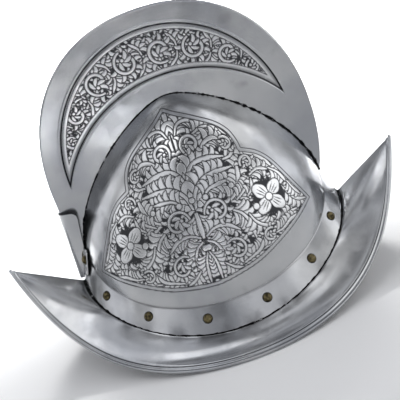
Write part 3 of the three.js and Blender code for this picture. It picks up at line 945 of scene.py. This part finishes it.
def make_bead(name, path, radii, closed):
    """A lumpy bead of weld along a path in mm, with a radius for each point of the path."""
    path = np.asarray(path)
    run = unit(np.roll(path, -1, 0) - np.roll(path, 1, 0) if closed else np.gradient(path, axis=0))
    side = unit(np.cross(run, [0, 0.3, 1.0]))
    other = np.cross(run, side)
    around = BEAD_SIDES
    spin = np.linspace(0, 2 * np.pi, around, endpoint=False)
    rough = random.standard_normal((len(path), around)).clip(-1.5, 1.5)
    lumps = radii[:, None] * (1 + BEAD_ROUGHNESS * rough)
    points = (path[:, None] + side[:, None] * (lumps * np.cos(spin))[..., None]
              + other[:, None] * (lumps * np.sin(spin))[..., None])
    faces = grid_faces(len(path), around, wrap_rows=closed, wrap_columns=True)
    if not closed:
        last = (len(path) - 1) * around
        faces += [list(range(around))[::-1], [last + k for k in range(around)]]
    return make_object(name, points.reshape(-1, 3), faces)


def seam_weld():
    """The bead that closes the joint of the band and the brim."""
    angle = np.linspace(0, 2 * np.pi, SEAM_WELD_POINTS, endpoint=False)
    radii = np.clip(SEAM_WELD_RADIUS + SEAM_WELD_DRIFT * drift(len(angle), 7, True), 0.3, 1.0)
    start = seam(angle)
    outward = unit(brim_edge(angle) - start)
    path = start + outward * (SEAM_WELD_OUT + SEAM_WELD_DRIFT * drift(len(angle), 9, True))[:, None]
    return make_bead("seam_weld", path, radii, closed=True)


def foot_weld(name, side):
    """The bead along one side of the comb's foot, heavier towards the front."""
    front, back = comb_ends()
    turns = np.linspace(front + END_TURN, back - END_TURN, FOOT_WELD_POINTS)
    path = comb_place(turns, comb_foot(turns) + FOOT_WELD_LIFT)
    path[:, 1] *= -side
    towards_front = fade(path[:, 0], 0, 90)
    radii = FOOT_WELD_RADIUS + FOOT_WELD_SWELL * towards_front
    radii = np.clip(radii * (1 + FOOT_WELD_DRIFT * drift(len(turns), 9)), 0.32, 1.6)
    return make_bead(name, path, radii, closed=False)


# ---- plume holder
def table_at(table, height):
    heights, values = zip(*table)
    return np.interp(height, heights, values)


def channel_grid():
    """The channel's sheet in sections from the bottom up, each along its outer face and back inside."""
    straight = np.linspace(CHANNEL_BOTTOM, CHANNEL_TOP - CHANNEL_CORNER, 22)
    rounded = CHANNEL_TOP - CHANNEL_CORNER * (1 - np.sin(np.linspace(0, np.pi / 2, 9)[1:]))
    rows = []
    for height in np.concatenate([straight, rounded]):
        back, front = table_at(CHANNEL_BACK, height), table_at(CHANNEL_FRONT, height)
        into_corner = max(0.0, height - (CHANNEL_TOP - CHANNEL_CORNER))
        trim = CHANNEL_CORNER - math.sqrt(CHANNEL_CORNER ** 2 - into_corner ** 2)
        faces = []
        for inset in (0, CHANNEL_SHEET):
            depth = front - back - inset
            half_width = table_at(CHANNEL_HALF_WIDTH, height) - inset
            turn = np.linspace(1, -1, CHANNEL_POINTS) * math.acos(trim / depth)
            heights = np.full(CHANNEL_POINTS, height)
            faces.append(np.stack([front - depth * np.cos(turn), half_width * np.sin(turn), heights], -1))
        rows.append(np.concatenate([faces[0], faces[1][::-1]]))
    return np.stack(rows)


def ear_place(y, z, depth=0.0):
    """A point of an ear, y mm to the left of the middle plane and depth mm behind the ear's inner face."""
    x = EAR_X - EAR_SLOPE * (EAR_TOP - z) + EAR_SWEEP * (y - EAR_FOLD)
    return np.array([x - depth, y, z])


def ear_outline():
    """The ear's rounded outline in (y, z)."""
    outline = [(EAR_INNER, EAR_BOTTOM)]
    for z, start in ((EAR_BOTTOM + EAR_CORNER, -90), (EAR_TOP - EAR_CORNER, 0)):
        for turn in np.radians(np.linspace(start, start + 90, 8)):
            y = EAR_OUTER - EAR_CORNER + EAR_CORNER * math.cos(turn)
            outline.append((y, z + EAR_CORNER * math.sin(turn)))
    return outline + [(EAR_INNER, EAR_TOP)]


def make_plume_holder():
    grid = channel_grid()
    rows, columns = grid.shape[:2]
    vertices = [grid.reshape(-1, 3)]
    faces = grid_faces(rows, columns, wrap_columns=True)
    for k in range(columns // 2 - 1):
        bottom = [k, k + 1, columns - 2 - k, columns - 1 - k]
        faces.append(bottom[::-1])
        faces.append([(rows - 1) * columns + corner for corner in bottom])
    count = rows * columns
    outline = ear_outline()
    corners = len(outline)
    for side in (-1, 1):
        for depth in (0, EAR_SHEET):
            vertices.append(np.array([ear_place(y, z, depth) for y, z in outline]) * (1, side, 1))
        behind = count + corners
        plate = [list(range(count, behind)), list(range(behind + corners - 1, behind - 1, -1))]
        for k in range(corners):
            ahead = (k + 1) % corners
            plate.append([count + ahead, count + k, behind + k, behind + ahead])
        faces += plate if side > 0 else [face[::-1] for face in plate]
        count += 2 * corners
    holder = make_object("plume_holder_sheet", np.concatenate(vertices), faces)
    rounding = holder.modifiers.new("worn_edges", "BEVEL")
    rounding.width = 0.3 * MM
    rounding.segments = 2
    rounding.limit_method = "ANGLE"
    rounding.angle_limit = math.radians(50)
    rounding.harden_normals = True
    return holder


def ear_rivet_place(side):
    """Where an ear's rivet sits and which way it faces; side is -1 for the wearer's right, 1 for the left."""
    across = ear_place(EAR_OUTER, EAR_TOP) - ear_place(EAR_INNER, EAR_TOP)
    upward = ear_place(EAR_INNER, EAR_TOP) - ear_place(EAR_INNER, EAR_BOTTOM)
    facing = unit(np.cross(upward, across))
    centre = ear_place(EAR_RIVET_Y, EAR_RIVET_Z) + facing * EAR_SHEET
    return centre * (1, side, 1), facing * (1, side, 1)


# ---- materials
STEEL_DARK = (0.36, 0.37, 0.39, 1)
STEEL_LIGHT = (0.50, 0.505, 0.51, 1)
STEEL_STAIN = (0.17, 0.17, 0.18, 1)
# painted highlight: the brighter colour of the steel inside the ornament
STEEL_PAINTED_HIGHLIGHT = (0.72, 0.725, 0.73, 1)
PATINA = (0.050, 0.051, 0.055, 1)
# painted shade: the near-black laid into the crease, grooves, seams, bevel and the rivets' feet
PAINTED_SHADE = (0.018, 0.018, 0.020, 1)
WELD_BLACK, WELD_BURR = (0.010, 0.010, 0.011, 1), (0.30, 0.30, 0.31, 1)
BRASS_DARK, BRASS_LIGHT = (0.035, 0.030, 0.018, 1), (0.20, 0.165, 0.085, 1)
FLOOR_DARK, FLOOR_LIGHT = (0.86, 0.86, 0.86, 1), (0.90, 0.90, 0.90, 1)


def new_material(name, metallic=1.0):
    """A material, its node tree, its shader and the socket with the place on the object in metres."""
    material = bpy.data.materials.new(name)
    material.use_nodes = True
    tree = material.node_tree
    shader = tree.nodes["Principled BSDF"]
    shader.inputs["Metallic"].default_value = metallic
    return material, tree, shader, node(tree, "ShaderNodeTexCoord").outputs["Object"]


def node(tree, kind, **settings):
    """A new node; a setting named after an input is its constant, or the socket that is linked to it."""
    made = tree.nodes.new(kind)
    for key, value in settings.items():
        if key not in made.inputs:
            setattr(made, key, value)
        elif isinstance(value, bpy.types.NodeSocket):
            tree.links.new(value, made.inputs[key])
        else:
            made.inputs[key].default_value = value
    return made


def mixed(tree, kind, factor, first, second, **settings):
    """A mix of two colours or two numbers; each may be a socket or a constant."""
    mix = node(tree, "ShaderNodeMix", data_type=kind, **settings)
    slots = (0, 6, 7) if kind == "RGBA" else (0, 2, 3)
    for slot, value in zip(slots, (factor, first, second)):
        if isinstance(value, bpy.types.NodeSocket):
            tree.links.new(value, mix.inputs[slot])
        else:
            mix.inputs[slot].default_value = value
    return mix.outputs[2 if kind == "RGBA" else 0]


def noise(tree, place, scale, detail=2.0):
    return node(tree, "ShaderNodeTexNoise", Vector=place, Scale=scale, Detail=detail).outputs["Fac"]


def mark_value(tree, name):
    return node(tree, "ShaderNodeAttribute", attribute_name=name).outputs["Fac"]


def ramp(tree, value, low, high, dark, light):
    """A colour that goes from dark to light while a number goes from low to high."""
    tint = node(tree, "ShaderNodeValToRGB", Fac=value)
    for element, position, colour in zip(tint.color_ramp.elements, (low, high), (dark, light)):
        element.position = position
        element.color = colour
    return tint.outputs["Color"]


def ranged(tree, value, low, high, to_low, to_high):
    """A number moved smoothly from one range to another."""
    ends = {"From Min": low, "From Max": high, "To Min": to_low, "To Max": to_high}
    change = node(tree, "ShaderNodeMapRange", interpolation_type="SMOOTHSTEP", Value=value, **ends)
    return change.outputs["Result"]


def bumped(tree, height, strength, distance, **over):
    """The normal of a bumped surface; Normal= lays the bump over another one."""
    bump = node(tree, "ShaderNodeBump", Height=height, Strength=strength, Distance=distance, **over)
    return bump.outputs["Normal"]


def steel_material():
    """Polished steel: patina by the mark `etched`, painted shade by `shade`, a painted highlight inside the
    ornament.
    """
    material, tree, shader, place = new_material("polished_steel")
    link = tree.links.new
    etched = mark_value(tree, "etched")

    cloud = ranged(tree, noise(tree, place, 13.0, 4.0), 0.35, 0.65, 0.0, 1.0)
    clean = mixed(tree, "RGBA", cloud, STEEL_DARK, STEEL_LIGHT)
    stain = ranged(tree, noise(tree, place, 34.0, 5.0), 0.60, 0.74, 0.0, 0.35)
    stained = mixed(tree, "RGBA", stain, clean, STEEL_STAIN)
    speck = ranged(tree, noise(tree, place, 900.0, 2.0), 0.68, 0.74, 0.0, 0.4)
    specked = mixed(tree, "RGBA", speck, stained, STEEL_STAIN)
    # painted highlight: brighter colour inside the ornament
    painted_highlight = mixed(tree, "RGBA", mark_value(tree, "painted_highlight"), specked, STEEL_PAINTED_HIGHLIGHT)
    lined = mixed(tree, "RGBA", etched, painted_highlight, PATINA)
    # painted shade: nearly black where the mark shade is 1
    link(mixed(tree, "RGBA", mark_value(tree, "shade"), lined, PAINTED_SHADE), shader.inputs["Base Color"])

    roughness = ranged(tree, noise(tree, place, 60.0, 3.0), 0.3, 0.7, 0.15, 0.27)
    link(mixed(tree, "FLOAT", etched, roughness, 0.5), shader.inputs["Roughness"])

    # hammered waviness under fine polishing scratches
    wavy = bumped(tree, noise(tree, place, 19.0, 1.0), 1.0, 0.0011)
    stretch = node(tree, "ShaderNodeMapping", Vector=place, Rotation=(0.4, 0.7, 0.9), Scale=(1.0, 0.06, 1.0))
    scratch = noise(tree, stretch.outputs["Vector"], 1400.0)
    link(bumped(tree, scratch, 0.07, 0.0002, Normal=wavy), shader.inputs["Normal"])
    return material


def weld_material():
    """Burnt black weld with bright burrs where the file has touched it."""
    material, tree, shader, place = new_material("burnt_weld")
    link = tree.links.new
    burr = ranged(tree, noise(tree, place, 190.0, 4.0), 0.60, 0.70, 0.0, 1.0)
    link(mixed(tree, "RGBA", burr, WELD_BLACK, WELD_BURR), shader.inputs["Base Color"])
    link(mixed(tree, "FLOAT", burr, 0.75, 0.3), shader.inputs["Roughness"])
    link(bumped(tree, noise(tree, place, 700.0, 3.0), 0.8, 0.0006), shader.inputs["Normal"])
    return material


def brass_material():
    """Darkened brass, turned nearly black by painted shade where the mark `shade` is 1."""
    material, tree, shader, place = new_material("aged_brass")
    link = tree.links.new
    cloud = noise(tree, place, 420.0, 4.0)
    tint = ramp(tree, cloud, 0.35, 0.68, BRASS_DARK, BRASS_LIGHT)
    link(mixed(tree, "RGBA", mark_value(tree, "shade"), tint, PAINTED_SHADE), shader.inputs["Base Color"])
    link(mixed(tree, "FLOAT", cloud, 0.5, 0.32), shader.inputs["Roughness"])
    link(bumped(tree, cloud, 0.3, 0.0004), shader.inputs["Normal"])
    return material


def floor_material():
    material, tree, shader, place = new_material("pale_floor", metallic=0.0)
    tint = ramp(tree, noise(tree, place, 3.0), 0.0, 1.0, FLOOR_DARK, FLOOR_LIGHT)
    tree.links.new(tint, shader.inputs["Base Color"])
    shader.inputs["Roughness"].default_value = 0.9
    return material


# ---- build
steel = steel_material()
brass = brass_material()
weld = weld_material()

finish_piece(skull_half("skull_right", -1), steel, "polished_steel", "skull")
finish_piece(skull_half("skull_left", 1), steel, "polished_steel", "skull")
finish_piece(make_comb(), steel, "polished_steel", "comb")
finish_piece(make_brim(), steel, "polished_steel", "brim")

rivet_angles = [math.radians(end + side * turn)
                for end in (0, 180) for side in (1, -1) for turn in RIVET_TURNS]
for index, rivet_angle in enumerate(rivet_angles):
    rivet_centre, rivet_facing = rivet_place(np.array(rivet_angle))
    dome = make_dome(f"rivet_{index + 1:02d}", rivet_centre, rivet_facing, RIVET_RADIUS, RIVET_HEIGHT)
    finish_piece(dome, brass, "aged_brass", f"band_rivet_{index + 1:02d}")

finish_piece(make_plume_holder(), steel, "polished_steel", "plume_holder")
for holder_side, side_name in ((-1, "right"), (1, "left")):
    rivet_centre, rivet_facing = ear_rivet_place(holder_side)
    dome = make_dome(f"ear_rivet_{side_name}", rivet_centre, rivet_facing, RIVET_RADIUS, RIVET_HEIGHT)
    finish_piece(dome, brass, "aged_brass", f"holder_rivet_{side_name}")
    finish_piece(foot_weld(f"foot_weld_{side_name}", holder_side), weld, None)
finish_piece(seam_weld(), weld, None)

# ---- floor, light, camera
FLOOR_HALF = 3000.0            # mm
floor_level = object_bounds()[0].z / MM
floor_corners = [(FLOOR_HALF * x, FLOOR_HALF * y, floor_level)
                 for x, y in ((-1, -1), (1, -1), (1, 1), (-1, 1))]
floor = make_object("floor", floor_corners, [(0, 1, 2, 3)])
floor.data.materials.append(floor_material())

CAMERA_TARGET = Vector((1.14, 0, 104.6)) * MM
CAMERA_DISTANCE = 1.5
CAMERA_ELEVATION = math.radians(20)
CAMERA_TURN = math.radians(-0.4)
CAMERA_ROLL = math.radians(19.48)
CAMERA_LENS, CAMERA_SENSOR = 150, 36

ROOM_FRONT = (0.58, 0.59, 0.62, 1)
ROOM_BACK = (0.42, 0.43, 0.45, 1)
ROOM_RIGHT = (1.15, 1.16, 1.18, 1)
ROOM_LEFT = (0.88, 0.89, 0.92, 1)
ROOM_TOP = (0.52, 0.53, 0.56, 1)


def aim(thing, position, target, roll=0.0):
    """Points a camera or lamp at a target and rolls it about its line of sight."""
    back = (position - target).normalized()
    right = Vector((0, 0, 1)).cross(back).normalized()
    up = back.cross(right)
    turned_right = right * math.cos(roll) - up * math.sin(roll)
    turned_up = right * math.sin(roll) + up * math.cos(roll)
    turn = Matrix((turned_right, turned_up, back)).transposed()
    thing.matrix_world = Matrix.Translation(position) @ turn.to_4x4()


def add_camera():
    data = bpy.data.cameras.new("camera")
    data.lens = CAMERA_LENS
    data.sensor_width = CAMERA_SENSOR
    data.clip_end = 20
    camera = add_object("camera", data)
    level = math.cos(CAMERA_ELEVATION)
    direction = Vector((math.sin(CAMERA_TURN) * level, -math.cos(CAMERA_TURN) * level,
                        math.sin(CAMERA_ELEVATION)))
    aim(camera, CAMERA_TARGET + direction * CAMERA_DISTANCE, CAMERA_TARGET, CAMERA_ROLL)
    bpy.context.scene.camera = camera


def add_softbox(name, position, size, power, target=(0, 0, 0.12), spread=180):
    """A rectangular lamp; sizes in metres, power in watts, spread in degrees."""
    data = bpy.data.lights.new(name, "AREA")
    data.shape = "RECTANGLE"
    data.size, data.size_y = size
    data.energy = power
    data.spread = math.radians(spread)
    aim(add_object(name, data), Vector(position), Vector(target))


def add_studio():
    """A grey room, bright at both sides, dimmer overhead and behind, with soft patches to reflect."""
    world = bpy.data.worlds.new("studio")
    world.use_nodes = True
    tree = world.node_tree
    direction = node(tree, "ShaderNodeTexCoord").outputs["Generated"]
    across, backward, upward = node(tree, "ShaderNodeSeparateXYZ", Vector=direction).outputs
    room = mixed(tree, "RGBA", ranged(tree, backward, 0.1, 0.7, 0.0, 1.0), ROOM_FRONT, ROOM_BACK)
    room = mixed(tree, "RGBA", ranged(tree, across, 0.4, 0.8, 0.0, 1.0), room, ROOM_RIGHT)
    room = mixed(tree, "RGBA", ranged(tree, across, -0.8, -0.5, 1.0, 0.0), room, ROOM_LEFT)
    room = mixed(tree, "RGBA", ranged(tree, upward, 0.8, 0.95, 0.0, 1.0), room, ROOM_TOP)
    patches = ranged(tree, noise(tree, direction, 3.1, 1.5), 0.44, 0.56, 0.5, 1.42)
    patched = mixed(tree, "RGBA", 1.0, room, patches, blend_type="MULTIPLY")
    tree.links.new(patched, tree.nodes["Background"].inputs["Color"])
    bpy.context.scene.world = world


add_camera()
add_softbox("high_left", (-0.45, -0.75, 1.9), (0.9, 0.8), 3.2)
add_softbox("low_right", (1.4, 0.35, 1.2), (1.2, 1.0), 2.6)
add_softbox("floor_pool", (-0.3, -1.15, 1.7), (0.3, 0.3), 3.4, target=(-0.2, -1.05, 0), spread=20)
add_softbox("background", (0, 1.9, 1.9), (1.8, 0.8), 36, target=(0, 0.95, 0), spread=34)
add_studio()
bpy.context.scene.view_settings.view_transform = "Standard"
